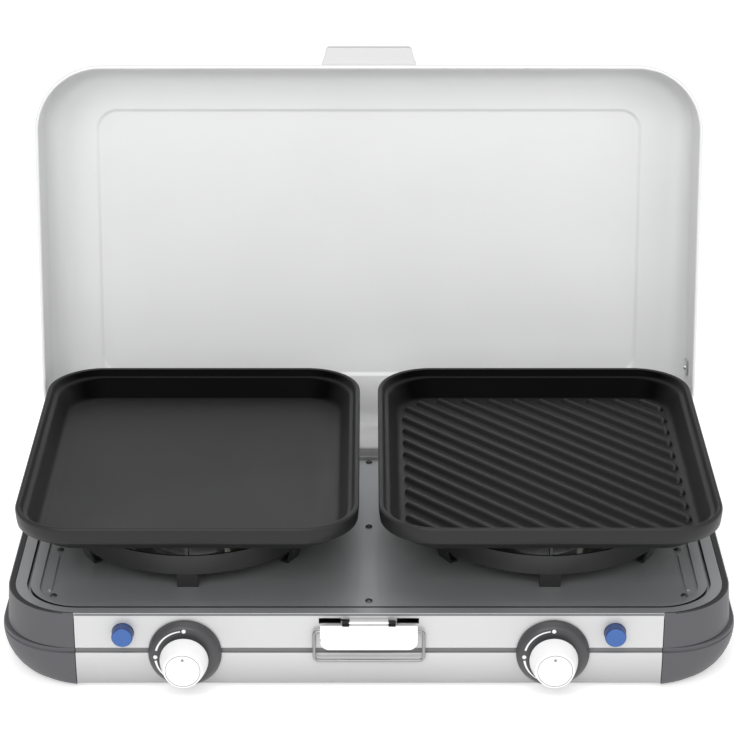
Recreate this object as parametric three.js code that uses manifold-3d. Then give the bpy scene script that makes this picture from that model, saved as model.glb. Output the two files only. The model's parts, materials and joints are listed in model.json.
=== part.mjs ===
// Folding camp grill: a two-burner gas stove in a low metal case, with a griddle pan, a ribbed
// grill pan and a hinged lid that stands open behind them.
// Millimetres, +Z up, +Y to the back, +X to the right of someone standing at the controls.
import * as THREE from 'three';
import Module from 'manifold-3d';

const wasm = await Module();
wasm.setup();

// ---------------------------------------------------------------- driving dimensions
// Heights are counted from the rim of the case and depths from its front face. SHIFT moves
// the finished part so that the origin is under its middle, on the ground.
const CASE_DEPTH = 336;
const CASE_BOTTOM = -64; // underside of the metal case
const GROUND = -68; // underside of the feet
const REAR_MIDDLE_Y = 193.998; // middle of the whole part, front to back, lid open
const SHIFT = [0, -REAR_MIDDLE_Y, -GROUND];
const SEAM_X = 227; // where the metal front meets a plastic end cap
const SHEET = 1.2; // case sheet thickness
const GAP = 0.3; // clearance between touching pieces

const CAP_TOP_HALF = 283; // half width over the end caps at the rim
const CAP_WAIST_HALF = 285; // and just above the shoulder
const CAP_SHOULDER_HALF = 289; // and over the shoulder
const CAP_CORNER_R = 57;
const CAP_WALL = 3;
const WAIST_Z = -30; // top of the groove that runs round the case
const SHOULDER_Z = -35; // bottom of the groove
const GROOVE_DEPTH = 1.4;
const BELLY_SIDE = 26; // how far the end caps curve in below the shoulder
const BELLY_FRONT = 5; // how far the front curves in below the groove
const CAP_BOTTOM = -66;
const SHELF_Y = 284.6; // the case steps down behind this line
const SHELF_Z = -14;

const DECK_Z = -3; // top of the hob plate
const DECK_HALF = 277.6;
const DECK_FRONT = 1.6;
const DECK_REAR = 282.6;
const WELL_R = 62;
const WELL_DEPTH = 5;

const BURNER_X = 142;
const BURNER_Y = 142;
const SUPPORT_R = 100;
const SUPPORT_BAND = [11.4, 27.5];
const SUPPORT_COUNT = 6;
const LEG_WIDTH = 16.6;

const PAN = { x0: 7.5, x1: 275.5, y0: 14, y1: 327, corner: 46, rim: 65, bottom: 38 };
const RIB_PITCH = 15.9;
const RIB_ANGLE = -47; // degrees from +X, seen from above
const RIB_HEIGHT = 4;

const LID_HALF = 282.5;
const LID_TALL = 76; // rim to back, closed
const LID_CORNER_R = 57;
const LID_FILLET = [19, 14]; // across and deep
const LID_DRAFT = 8.5; // how far the front wall leans in
const LID_SHEET = 1;
const LID_BEAD = 3;
const LID_RIM_Z = 0.5; // rim height over the case when closed
const LID_OPEN = 99; // degrees from closed to open
const LID_PIVOT = { y: 314.95, z: 18 };
const HINGE_X = 150;

const KNOB_X = 142;
const KNOB_Z = -34;
const BUTTON_X = 189.5;
const BUTTON_Z = -17;
const BUTTON_R = 8.2;
const LATCH_PIN = { y: -3.6, z: -6.7 };
const BAIL_PIN_Z = -14.2;
const BAIL_ARM = 25;
const BAIL_HALF = 42.2;
const WIRE_R = 1.3;

// ---------------------------------------------------------------- colours
const PAINT = {
  silver: [0xd4d5d7, 0.42, 0.6],
  lidSilver: [0xc9cbce, 0.4, 0.35],
  deck: [0x85878a, 0.35, 0.7],
  cap: [0x4b4b4f, 0.6, 0],
  pan: [0x232325, 0.55, 0.1],
  enamel: [0x161617, 0.45, 0],
  white: [0xf2f2f2, 0.35, 0],
  blue: [0x2458a6, 0.35, 0],
  steel: [0xb9bbbe, 0.25, 0.9],
  brass: [0xb08d4c, 0.35, 0.85],
  alloy: [0xa9abad, 0.45, 0.75],
  rubber: [0x1b1b1c, 0.9, 0],
  ceramic: [0xe9e4d8, 0.5, 0],
  bezel: [0x3f3f43, 0.5, 0],
};

// ---------------------------------------------------------------- solids
// A closed triangle mesh, with its corners merged on position, as a solid for booleans.
function solid(geometry) {
  const source = geometry.index ? geometry.toNonIndexed() : geometry;
  const pos = source.attributes.position;
  const seen = new Map();
  const verts = [];
  const ids = [];
  for (let i = 0; i < pos.count; i++) {
    const p = [pos.getX(i), pos.getY(i), pos.getZ(i)];
    const key = p.map((v) => Math.round(v * 2e4)).join();
    if (!seen.has(key)) {
      seen.set(key, seen.size);
      verts.push(...p);
    }
    ids.push(seen.get(key));
  }
  const tris = [];
  let volume = 0;
  for (let i = 0; i < ids.length; i += 3) {
    const [a, b, c] = [ids[i], ids[i + 1], ids[i + 2]];
    if (a === b || b === c || a === c) continue;
    tris.push(a, b, c);
    const [p, q, r] = [a, b, c].map((k) => new THREE.Vector3().fromArray(verts, 3 * k));
    volume += p.dot(q.cross(r));
  }
  if (volume < 0) {
    for (let i = 0; i < tris.length; i += 3) [tris[i], tris[i + 1]] = [tris[i + 1], tris[i]];
  }
  const vertProperties = new Float32Array(verts);
  const triVerts = new Uint32Array(tris);
  return new wasm.Manifold(new wasm.Mesh({ numProp: 3, vertProperties, triVerts }));
}

const join = (...parts) => parts.flat().reduce((a, b) => a.add(b));
const cut = (body, ...tools) => tools.flat().reduce((a, b) => a.subtract(b), body);

function mirrored(body) {
  const geometry = toGeometry(body);
  geometry.scale(-1, 1, 1);
  return solid(geometry);
}

function toGeometry(body) {
  const mesh = body.getMesh();
  const geometry = new THREE.BufferGeometry();
  geometry.setAttribute('position', new THREE.Float32BufferAttribute(mesh.vertProperties, 3));
  geometry.setIndex(Array.from(mesh.triVerts));
  return geometry;
}

function box(x0, x1, y0, y1, z0, z1) {
  const geometry = new THREE.BoxGeometry(x1 - x0, y1 - y0, z1 - z0);
  return solid(geometry.translate((x0 + x1) / 2, (y0 + y1) / 2, (z0 + z1) / 2));
}

// A flat outline [[a, b], ...] given thickness from low to high.
function prism(points, low, high) {
  const shape = new THREE.Shape(points.map(([a, b]) => new THREE.Vector2(a, b)));
  const options = { depth: high - low, bevelEnabled: false };
  return new THREE.ExtrudeGeometry(shape, options).translate(0, 0, low);
}
const prismZ = (points, low, high) => solid(prism(points, low, high));
// The same, for outlines in (y, z) run along X.
const prismX = (points, low, high) =>
  solid(prism(points, low, high).rotateX(Math.PI / 2).rotateZ(Math.PI / 2));

// A profile [[radius, height], ...] turned about +Z through (x, y).
function turned(profile, segments, x = 0, y = 0) {
  const points = profile.map(([r, h]) => new THREE.Vector2(r, h));
  const geometry = new THREE.LatheGeometry(points, segments).rotateX(Math.PI / 2);
  return solid(geometry.translate(x, y, 0));
}
// The same about an axis that points forward (-Y) through (x, z): heights count forward from
// the front face.
function turnedForward(profile, segments, x, z) {
  const points = profile.map(([r, h]) => new THREE.Vector2(r, h));
  const geometry = new THREE.LatheGeometry(points, segments).rotateX(Math.PI);
  return solid(geometry.translate(x, 0, z));
}
// A round bar along X.
function barX(r, x0, x1, y, z, segments = 20) {
  const geometry = new THREE.CylinderGeometry(r, r, x1 - x0, segments).rotateZ(Math.PI / 2);
  return solid(geometry.translate((x0 + x1) / 2, y, z));
}
// A round bar along Y.
function barY(r, y0, y1, x, z, segments = 20) {
  const geometry = new THREE.CylinderGeometry(r, r, y1 - y0, segments);
  return solid(geometry.translate(x, (y0 + y1) / 2, z));
}

// A rectangle with rounded corners, counter-clockwise from above.
function outline(x0, x1, y0, y1, rFront, rRear = rFront, steps = 5) {
  const corners = [
    [x1 - rFront, y0 + rFront, rFront, -90],
    [x1 - rRear, y1 - rRear, rRear, 0],
    [x0 + rRear, y1 - rRear, rRear, 90],
    [x0 + rFront, y0 + rFront, rFront, 180],
  ];
  const points = [];
  for (const [cx, cy, r, start] of corners) {
    for (let i = 0; i <= steps; i++) {
      const a = THREE.MathUtils.degToRad(start + (90 * i) / steps);
      points.push([cx + r * Math.cos(a), cy + r * Math.sin(a)]);
    }
  }
  return points;
}

// A solid through rings of equal count, each {points, z}, closed flat at both ends.
function loft(rings) {
  const n = rings[0].points.length;
  const at = (k, i) => [...rings[k].points[i % n], rings[k].z];
  const tris = [];
  for (let k = 0; k + 1 < rings.length; k++) {
    for (let i = 0; i < n; i++) {
      tris.push(at(k, i), at(k, i + 1), at(k + 1, i + 1), at(k, i), at(k + 1, i + 1), at(k + 1, i));
    }
  }
  for (const k of [0, rings.length - 1]) {
    const flat = rings[k].points.map(([x, y]) => new THREE.Vector2(x, y));
    for (const face of THREE.ShapeUtils.triangulateShape(flat, [])) {
      const order = k === 0 ? [face[0], face[2], face[1]] : face;
      tris.push(...order.map((i) => at(k, i)));
    }
  }
  const geometry = new THREE.BufferGeometry();
  geometry.setAttribute('position', new THREE.Float32BufferAttribute(tris.flat(), 3));
  return solid(geometry);
}

// A round wire or pipe along a path of straight runs with mitred bends.
function wire(path, r, segments = 10) {
  const points = path.map((p) => new THREE.Vector3(...p));
  const side = new THREE.Vector3();
  const rings = points.map((p, k) => {
    const before = points[Math.max(k - 1, 0)];
    const after = points[Math.min(k + 1, points.length - 1)];
    const into = p.clone().sub(before).normalize();
    const out = after.clone().sub(p).normalize();
    if (k === 0) into.copy(out);
    if (k === points.length - 1) out.copy(into);
    const normal = into.clone().add(out).normalize();
    if (k === 0) side.set(0.3, 0.5, 0.8).cross(into).normalize();
    side.addScaledVector(into, -side.dot(into)).normalize();
    const up = into.clone().cross(side);
    return Array.from({ length: segments }, (_, i) => {
      const a = (2 * Math.PI * i) / segments;
      const spoke = side.clone().multiplyScalar(r * Math.cos(a));
      spoke.addScaledVector(up, r * Math.sin(a));
      spoke.addScaledVector(into, -spoke.dot(normal) / into.dot(normal));
      return p.clone().add(spoke).toArray();
    });
  });
  const tris = [];
  for (let k = 0; k + 1 < rings.length; k++) {
    for (let i = 0; i < segments; i++) {
      const j = (i + 1) % segments;
      const [a, b, c, d] = [rings[k][i], rings[k][j], rings[k + 1][j], rings[k + 1][i]];
      tris.push(a, b, c, a, c, d);
    }
  }
  const last = rings[rings.length - 1];
  for (let i = 1; i + 1 < segments; i++) {
    tris.push(rings[0][0], rings[0][i + 1], rings[0][i], last[0], last[i], last[i + 1]);
  }
  const geometry = new THREE.BufferGeometry();
  geometry.setAttribute('position', new THREE.Float32BufferAttribute(tris.flat(), 3));
  return solid(geometry);
}

// ---------------------------------------------------------------- assembly
const group = new THREE.Group();
group.name = 'folding_camp_grill';

function add(name, paint, body, place = (geometry) => geometry) {
  const geometry = place(toGeometry(body)).translate(...SHIFT);
  const faceted = geometry.toNonIndexed();
  faceted.computeVertexNormals();
  const [color, roughness, metalness] = PAINT[paint];
  const material = new THREE.MeshStandardMaterial({ color, roughness, metalness });
  material.name = name;
  const mesh = new THREE.Mesh(faceted, material);
  mesh.name = name;
  group.add(mesh);
}

// Turns what was drawn for the closed lid back to the open lid.
function opened(geometry) {
  geometry.translate(0, -LID_PIVOT.y, -LID_PIVOT.z);
  geometry.rotateX(THREE.MathUtils.degToRad(-LID_OPEN));
  return geometry.translate(0, LID_PIVOT.y, LID_PIVOT.z);
}

const SIDES = [['left', -1], ['right', 1]];

// ---------------------------------------------------------------- end caps
// Plan outline of the case at one height, pulled in by `side` at the ends and `front` at the
// front and back.
const caseOutline = (half, side, front) => {
  const hx = half - side;
  const r = Math.max(CAP_CORNER_R - Math.min(side, 12) * 0.4, 30);
  return outline(-hx, hx, front, CASE_DEPTH - front, r);
};

function caseRings(inset) {
  const rings = [];
  const belly = [90, 66, 42, 20, 0];
  for (const deg of belly) {
    const a = THREE.MathUtils.degToRad(deg);
    const side = BELLY_SIDE * (1 - Math.cos(a)) + inset;
    const front = BELLY_FRONT * (1 - Math.cos(a)) + inset;
    const drop = (CAP_BOTTOM - SHOULDER_Z) * Math.sin(a);
    rings.push({ points: caseOutline(CAP_SHOULDER_HALF, side, front), z: SHOULDER_Z + drop });
  }
  rings.push({ points: caseOutline(CAP_SHOULDER_HALF, inset, GROOVE_DEPTH + inset), z: -34 });
  rings.push({ points: caseOutline(CAP_SHOULDER_HALF, inset, GROOVE_DEPTH + inset), z: -32 });
  rings.push({ points: caseOutline(CAP_WAIST_HALF, inset, GROOVE_DEPTH + inset), z: -31.2 });
  rings.push({ points: caseOutline(CAP_WAIST_HALF, inset, inset), z: WAIST_Z });
  rings.push({ points: caseOutline(CAP_TOP_HALF, inset, inset), z: -1 });
  rings.push({ points: caseOutline(CAP_TOP_HALF, inset + 1, inset + (inset ? 0 : 0.5)), z: 0 });
  return rings;
}

const capOuter = loft(caseRings(0));
const hollow = loft(caseRings(CAP_WALL));
const capPocket = prismZ(outline(-278, 278, 1.3, 400, 54.4), -5.5, 5);
const capHollow = hollow.intersect(box(-300, 300, -10, 400, CAP_BOTTOM + CAP_WALL, -5.5));
const frontHollow = join(capHollow, capPocket).intersect(box(-300, 300, -10, 282.9, -70, 9));
const rearHollow = capHollow.intersect(box(-300, 300, 200, 400, -70, SHELF_Z - CAP_WALL));
const ends = cut(
  capOuter,
  box(-300, 300, SHELF_Y, 400, SHELF_Z, 9),
  frontHollow,
  rearHollow,
);
const capRight = ends.intersect(box(SEAM_X + GAP, 300, -10, 400, -70, 9));
add('end_cap_left', 'cap', mirrored(capRight));
add('end_cap_right', 'cap', capRight);

// ---------------------------------------------------------------- case sheet metal
// Front face outline, top to bottom, at a distance `back` behind the face.
function faceProfile(back, top) {
  const points = [[back, top], [back, WAIST_Z], [GROOVE_DEPTH + back, -31.2]];
  points.push([GROOVE_DEPTH + back, -34], [back, SHOULDER_Z]);
  for (const deg of [30, 55, 90]) {
    const a = THREE.MathUtils.degToRad(deg);
    const z = SHOULDER_Z + (CASE_BOTTOM - SHOULDER_Z) * Math.sin(a);
    points.push([BELLY_FRONT * (1 - Math.cos(a)) + back, z]);
  }
  return points;
}

const RETURN_Y = 14; // the front and back sheets turn in this far under the case
const frontOuter = faceProfile(0, -1);
const frontInner = faceProfile(SHEET, -1.6).slice(0, -1).reverse();
const frontSheet = [
  ...frontOuter,
  [RETURN_Y, CASE_BOTTOM],
  [RETURN_Y, CASE_BOTTOM + SHEET],
  [BELLY_FRONT + 0.8, CASE_BOTTOM + SHEET],
  ...frontInner,
  [SHEET, -0.4],
  [0.4, -0.4],
];
const SLOT_Z = [-9.1, -4.2];
const slots = [-1, 1].map((s) => {
  const [a, b] = [21.5 * s, 38.5 * s].sort((p, q) => p - q);
  return box(a, b, -3, 3, ...SLOT_Z);
});
const frontHoles = [-1, 1].flatMap((s) => [
  barY(6, -3, 4, s * KNOB_X, KNOB_Z),
  barY(BUTTON_R + 0.4, -3, 4, s * BUTTON_X, BUTTON_Z, 20),
]);
const seam = SEAM_X - GAP;
add('front_panel', 'silver', cut(prismX(frontSheet, -seam, seam), slots, frontHoles));

const rearFace = faceProfile(0, SHELF_Z).map(([y, z]) => [CASE_DEPTH - y, z]);
const rearBack = faceProfile(SHEET, SHELF_Z - SHEET).map(([y, z]) => [CASE_DEPTH - y, z]);
const rearSheet = [
  [SHELF_Y - SHEET, -0.6],
  [SHELF_Y - SHEET, SHELF_Z - SHEET],
  ...rearBack.slice(0, -1),
  [CASE_DEPTH - BELLY_FRONT - 0.8, CASE_BOTTOM + SHEET],
  [CASE_DEPTH - RETURN_Y, CASE_BOTTOM + SHEET],
  [CASE_DEPTH - RETURN_Y, CASE_BOTTOM],
  ...rearFace.reverse(),
  [SHELF_Y, SHELF_Z],
  [SHELF_Y, -0.6],
];
const INLET = { x: 190, z: -44 };
const inletHole = barY(6.6, 330, 340, INLET.x, INLET.z);
add('rear_panel', 'silver', cut(prismX(rearSheet, -seam, seam), inletHole));

const TRAY_FRONT = RETURN_Y + GAP;
const TRAY_REAR = CASE_DEPTH - RETURN_Y - GAP;
const traySheet = [
  [TRAY_FRONT, -54], [TRAY_FRONT, CASE_BOTTOM], [TRAY_REAR, CASE_BOTTOM], [TRAY_REAR, -54],
  [TRAY_REAR - 1, -54], [TRAY_REAR - 1, CASE_BOTTOM + 1],
  [TRAY_FRONT + 1, CASE_BOTTOM + 1], [TRAY_FRONT + 1, -54],
];
add('bottom_tray', 'silver', prismX(traySheet, -seam, seam));

const footProfile = [[0, GROUND], [9, GROUND], [10, GROUND + 1], [10.5, CASE_BOTTOM - 0.2],
  [0, CASE_BOTTOM - 0.2]];
for (const [side, s] of SIDES) {
  add(`foot_front_${side}`, 'rubber', turned(footProfile, 16, s * 196, 36));
  add(`foot_rear_${side}`, 'rubber', turned(footProfile, 16, s * 196, 304));
}

// ---------------------------------------------------------------- hob plate
const deckOutline = (dx, front, r) => outline(-dx, dx, front, 400, r);
const deckEdge = prismZ(outline(-DECK_HALF, DECK_HALF, DECK_FRONT, DECK_REAR, 54, 5), -5, -0.5);
const under = (dx, front, r, top) => prismZ(deckOutline(dx, front, r), -9, top);
const wellFloor = DECK_Z - WELL_DEPTH;
const wellProfile = [
  [WELL_R + 0.2, DECK_Z], [59, DECK_Z - 0.5], [52, wellFloor + 0.6], [50, wellFloor],
  [33.5, wellFloor], [33.5, wellFloor - SHEET], [49.6, wellFloor - SHEET],
  [51.4, wellFloor - 0.7], [58.4, DECK_Z - 1.6], [WELL_R + 0.2, DECK_Z - SHEET],
  [WELL_R + 0.2, DECK_Z],
];
const electrodeAt = (s) => [s * BURNER_X + 28, BURNER_Y - 32];
const wells = [-1, 1].map((s) => turned(wellProfile, 28, s * BURNER_X, BURNER_Y));
const wellHoles = [-1, 1].map((s) =>
  turned([[0, -9], [WELL_R - 0.5, -9], [WELL_R - 0.5, 2], [0, 2]], 28, s * BURNER_X, BURNER_Y));
const electrodeHoles = [-1, 1].map((s) =>
  turned([[0, -12], [3, -12], [3, -6], [0, -6]], 8, ...electrodeAt(s)));
const stripLines = [-8.6, 8.6].map((x) => box(x - 0.5, x + 0.5, 27, 281, DECK_Z - 0.6, 1));
const sideRibs = [-250.2, 250.2].map((x) =>
  prismZ(outline(x - 2, x + 2, 42, 102, 1.9, 1.9, 3), DECK_Z - 0.5, DECK_Z + 1.2));
const screwSpots = [
  [0, 25.6], [0, 153.5], [0, 276.6], [-246, 34], [246, 34], [-249, 112], [249, 112],
];
const seats = screwSpots.map(([x, y]) =>
  turned([[0, DECK_Z - 0.4], [3.2, DECK_Z - 0.4], [3.2, 1], [0, 1]], 8, x, y));
let deck = cut(deckEdge, prismZ(deckOutline(268.5, 10, 44), -4.2, 1));
deck = join(deck, prismZ(outline(-265.8, 265.8, 12.8, DECK_REAR, 41.5, 5), -5, -0.9));
deck = cut(deck, prismZ(deckOutline(258, 14, 35), DECK_Z, 1));
deck = cut(deck, under(256.5, 15.5, 34, DECK_Z - SHEET), wellHoles);
deck = cut(join(deck, wells, sideRibs), stripLines, seats, electrodeHoles);
add('deck_plate', 'deck', deck);

const screwProfile = [[0, DECK_Z - 0.3], [2.9, DECK_Z - 0.3], [2.9, DECK_Z + 0.3],
  [1.9, DECK_Z + 1.1], [0, DECK_Z + 1.3]];
screwSpots.forEach(([x, y], i) => {
  const slotted = cut(turned(screwProfile, 10, x, y),
    box(x - 1.5, x + 1.5, y - 0.3, y + 0.3, DECK_Z + 0.6, 1));
  add(`deck_screw_${i + 1}`, 'steel', slotted);
});

// ---------------------------------------------------------------- burners and pan supports
const BURNER_SEGMENTS = 24;
const headProfile = [
  [0, -38], [13, -38], [13, -26], [30, -14], [31, -12], [31, wellFloor + 0.2],
  [38, wellFloor + 0.2], [38, wellFloor + 1.6], [34, wellFloor + 2.4], [34, 5], [29, 5],
  [29, 0], [0, 0],
];
const capProfile = [[0, 5.3], [34.5, 5.3], [35.5, 6.4], [34, 9.2], [16, 11.4],
  [0, 11.8]];
const legTop = [SUPPORT_R - 1.9, SUPPORT_R - 0.1];
const legFoot = [SUPPORT_R - 7.8, SUPPORT_R - 6];
const w = LEG_WIDTH / 2;
const legRing = ([a, b], z) => ({ points: [[a, -w], [b, -w], [b, w], [a, w]], z });
const bladeProfile = [
  [SUPPORT_R - 1, 14], [SUPPORT_R - 1, 34], [SUPPORT_R - 4, PAN.bottom - GAP],
  [57, PAN.bottom - GAP], [57, 33], [89, 28], [94, 14],
];
const aimed = (body, deg, x, y) => {
  const geometry = toGeometry(body).rotateZ(THREE.MathUtils.degToRad(deg));
  return solid(geometry.translate(x, y, 0));
};
const [bandLow, bandHigh] = SUPPORT_BAND;
const footZ = DECK_Z + 0.2;
const leg = join(
  loft([legRing(legFoot, footZ), legRing(legTop, bandLow + 3)]),
  box(legFoot[0] - 5, legFoot[1], -w, w, footZ, footZ + 1.8),
);
const blade = solid(toGeometry(prismX(bladeProfile, -1.2, 1.2)).rotateZ(-Math.PI / 2));
for (const [side, s] of SIDES) {
  const [x, y] = [s * BURNER_X, BURNER_Y];
  const band = turned([
    [SUPPORT_R - 1.8, bandLow], [SUPPORT_R, bandLow], [SUPPORT_R, bandHigh],
    [SUPPORT_R - 1.8, bandHigh], [SUPPORT_R - 1.8, bandLow],
  ], 36, x, y);
  const arms = Array.from({ length: SUPPORT_COUNT }, (_, i) => {
    const deg = -90 + (360 * i) / SUPPORT_COUNT;
    return join(aimed(leg, deg, x, y), aimed(blade, deg, x, y));
  });
  add(`pan_support_${side}`, 'enamel', join(band, arms));

  const ports = Array.from({ length: 4 }, (_, i) =>
    aimed(box(-40, 40, -1.8, 1.8, 2, 9), (360 * (i + 0.5)) / 8, x, y));
  const bowl = turned([[0, 0.01], [28, 0.01], [28, 9], [0, 9]], BURNER_SEGMENTS, x, y);
  const head = turned(headProfile, BURNER_SEGMENTS, x, y);
  add(`burner_head_${side}`, 'alloy', cut(head, ports, bowl));
  add(`burner_cap_${side}`, 'enamel', turned(capProfile, BURNER_SEGMENTS, x, y));
  const tubeProfile = [[8.2, 0], [8.2, 50], [10.5, 62], [10.5, 64.5], [0, 64.5], [0, 0],
    [8.2, 0]];
  const horn = turnedForward(tubeProfile.map(([r, h]) => [r, h - 110.5]), 16, x, -30);
  add(`mixing_tube_${side}`, 'steel', horn);
  const [ex, ey] = electrodeAt(s);
  const rod = turned([[0, -22], [2.4, -22], [2.4, 1], [1.2, 2.5], [1.2, 6.5], [0, 6.5]],
    8, ex, ey);
  add(`spark_electrode_${side}`, 'ceramic', rod);
}

// ---------------------------------------------------------------- pans
const panOutline = (inset) => {
  const r = Math.max(PAN.corner - inset * 0.8, 14);
  return outline(PAN.x0 + inset, PAN.x1 - inset, PAN.y0 + inset, PAN.y1 - inset, r);
};
const FLOOR_Z = PAN.bottom + 4;
const panSection = [ // [distance in from the rim's edge, height], underside to floor
  [24, PAN.bottom], [19.5, PAN.bottom + 0.7], [17, PAN.bottom + 2.4], [9.5, 52.6], [7, 53.2],
  [5.2, 50.7], [2.2, 50.7], [1.2, 52], [0, 63], [0.9, 64.7], [2.4, PAN.rim], [4, 64.4],
  [6.6, 59.4], [9, 58.2], [16, FLOOR_Z + 2.6], [20, FLOOR_Z],
];
const panBody = loft(panSection.map(([inset, z]) => ({ points: panOutline(inset), z })));
add('griddle_pan', 'pan', mirrored(panBody));

const panX = (PAN.x0 + PAN.x1) / 2;
const panY = (PAN.y0 + PAN.y1) / 2;
const ribTop = FLOOR_Z + RIB_HEIGHT;
const ribSection = [[-3.1, FLOOR_Z - 1], [3.1, FLOOR_Z - 1], [1.9, ribTop], [-1.9, ribTop]];
const rib = prismX(ribSection, -220, 220);
const RIB_COUNT = 23;
const ribs = Array.from({ length: RIB_COUNT }, (_, i) => {
  const offset = (i - (RIB_COUNT - 1) / 2) * RIB_PITCH;
  const geometry = toGeometry(rib).translate(0, offset, 0);
  geometry.rotateZ(THREE.MathUtils.degToRad(RIB_ANGLE)).translate(panX, panY, 0);
  return solid(geometry);
});
const ribField = prismZ(
  outline(PAN.x0 + 22, PAN.x1 - 22, PAN.y0 + 22, PAN.y1 - 22, 25, 25, 4), 40, 60);
add('grill_pan', 'pan', join(panBody, join(ribs).intersect(ribField)));

// ---------------------------------------------------------------- lid, drawn closed
const LID_TOP = LID_RIM_Z + LID_TALL;
const lidOutline = (inset, draft = 0) => {
  const r = Math.max(LID_CORNER_R - inset - draft * 0.5, 16);
  return outline(-LID_HALF + inset, LID_HALF - inset, inset + draft, CASE_DEPTH - inset, r,
    LID_CORNER_R - inset);
};
const EMBOSS = { half: 239, y0: 47, y1: 288.5, r: 19, rise: 1.6, slope: 4 };
const embossOutline = (inset) => outline(
  -EMBOSS.half + inset, EMBOSS.half - inset, EMBOSS.y0 + inset, EMBOSS.y1 - inset,
  EMBOSS.r - inset * 0.6,
);
function lidSkin(inset) { // from the middle of the top out to the foot of the wall
  const rings = [
    { points: embossOutline(EMBOSS.slope), z: LID_TOP + EMBOSS.rise - inset },
    { points: embossOutline(0), z: LID_TOP - inset },
  ];
  const [across, deep] = LID_FILLET;
  for (const deg of [0, 25, 57, 90]) {
    const a = THREE.MathUtils.degToRad(deg);
    const pulled = across - (across - inset) * Math.sin(a);
    const z = LID_TOP - deep + (deep - inset) * Math.cos(a);
    rings.push({ points: lidOutline(pulled, LID_DRAFT), z });
  }
  return rings;
}
const beadZ = LID_RIM_Z + LID_BEAD;
const lidShell = loft([
  ...lidSkin(0),
  { points: lidOutline(0), z: LID_RIM_Z + 0.7 },
  { points: lidOutline(0.7), z: LID_RIM_Z },
  { points: lidOutline(LID_BEAD - 0.7), z: LID_RIM_Z },
  { points: lidOutline(LID_BEAD), z: LID_RIM_Z + 0.7 },
  { points: lidOutline(LID_BEAD), z: beadZ },
  { points: lidOutline(LID_SHEET), z: beadZ + 1 },
  ...lidSkin(LID_SHEET).reverse(),
]);
const NOTCH = { half: 4.6, top: LID_RIM_Z + 32 };
const notches = [-1, 1].map((s) => box(s * HINGE_X - NOTCH.half, s * HINGE_X + NOTCH.half,
  CASE_DEPTH - 6, CASE_DEPTH + 4, LID_RIM_Z - 2, NOTCH.top));
add('lid_shell', 'lidSilver', cut(lidShell, notches), opened);

const CATCH = { base: 40, tip: 35, out: 14.7, low: 3, high: 15 };
const catchPlan = [[-CATCH.base, -GAP], [-CATCH.tip, -CATCH.out], [CATCH.tip, -CATCH.out],
  [CATCH.base, -GAP]];
const hookGroove = box(-60, 60, -9.5, -4, CATCH.high - 4, CATCH.high + 2);
add('lid_catch', 'white', cut(prismZ(catchPlan, CATCH.low, CATCH.high), hookGroove), opened);

const lidBracket = join(
  box(LID_HALF - 3, LID_HALF - LID_SHEET - GAP - 0.2, 267, 280, 45, 57),
  barX(2.3, LID_HALF - 4.4, LID_HALF - 2.5, 273.5, 51, 14),
);
add('lid_side_bracket', 'steel', lidBracket, opened);

// ---------------------------------------------------------------- lid hinges
const EAR_HALF = 2;
const PIN_R = 3;
const LEAF_BACK = CASE_DEPTH - LID_SHEET - GAP;
const cheekProfile = [
  [LEAF_BACK, 50], [LEAF_BACK, 14], [325, 9], [309.5, 10.5], [307.5, 14], [307.5, 24],
  [331, 50],
];
const earProfile = [[306, -12.9], [324, -12.9], [321, 20.5], [318, 24.2], [312, 24.2],
  [309, 20.5]];
for (const [side, s] of SIDES) {
  const x = s * HINGE_X;
  const cheeks = [-1, 1].map((c) => {
    const [a, b] = [x + c * (EAR_HALF + 0.5), x + c * (EAR_HALF + 2.9)].sort((p, q) => p - q);
    return prismX(cheekProfile, a, b);
  });
  const plate = box(x - 19, x + 19, LEAF_BACK - 1.6, LEAF_BACK, 36, 50);
  const leafBore = barX(PIN_R + 0.12, x - 10, x + 10, LID_PIVOT.y, LID_PIVOT.z, 16);
  add(`lid_hinge_leaf_${side}`, 'steel', cut(join(plate, cheeks), leafBore), opened);
  const shank = barX(PIN_R, x - 5.2, x + 5.2, LID_PIVOT.y, LID_PIVOT.z, 16);
  const headOut = [-1, 1].map((c) => {
    const [a, b] = [x + c * 5.1, x + c * 6.8].sort((p, q) => p - q);
    return barX(4.4, a, b, LID_PIVOT.y, LID_PIVOT.z, 10);
  });
  add(`lid_hinge_pin_${side}`, 'steel', join(shank, headOut), opened);
  const ear = prismX(earProfile, x - EAR_HALF, x + EAR_HALF);
  const foot = box(x - 16, x + 16, 301, 329, SHELF_Z + 0.2, SHELF_Z + 2);
  const bore = barX(PIN_R + 0.14, x - 10, x + 10, LID_PIVOT.y, LID_PIVOT.z, 16);
  add(`base_hinge_${side}`, 'steel', cut(join(ear, foot), bore));
}

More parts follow.
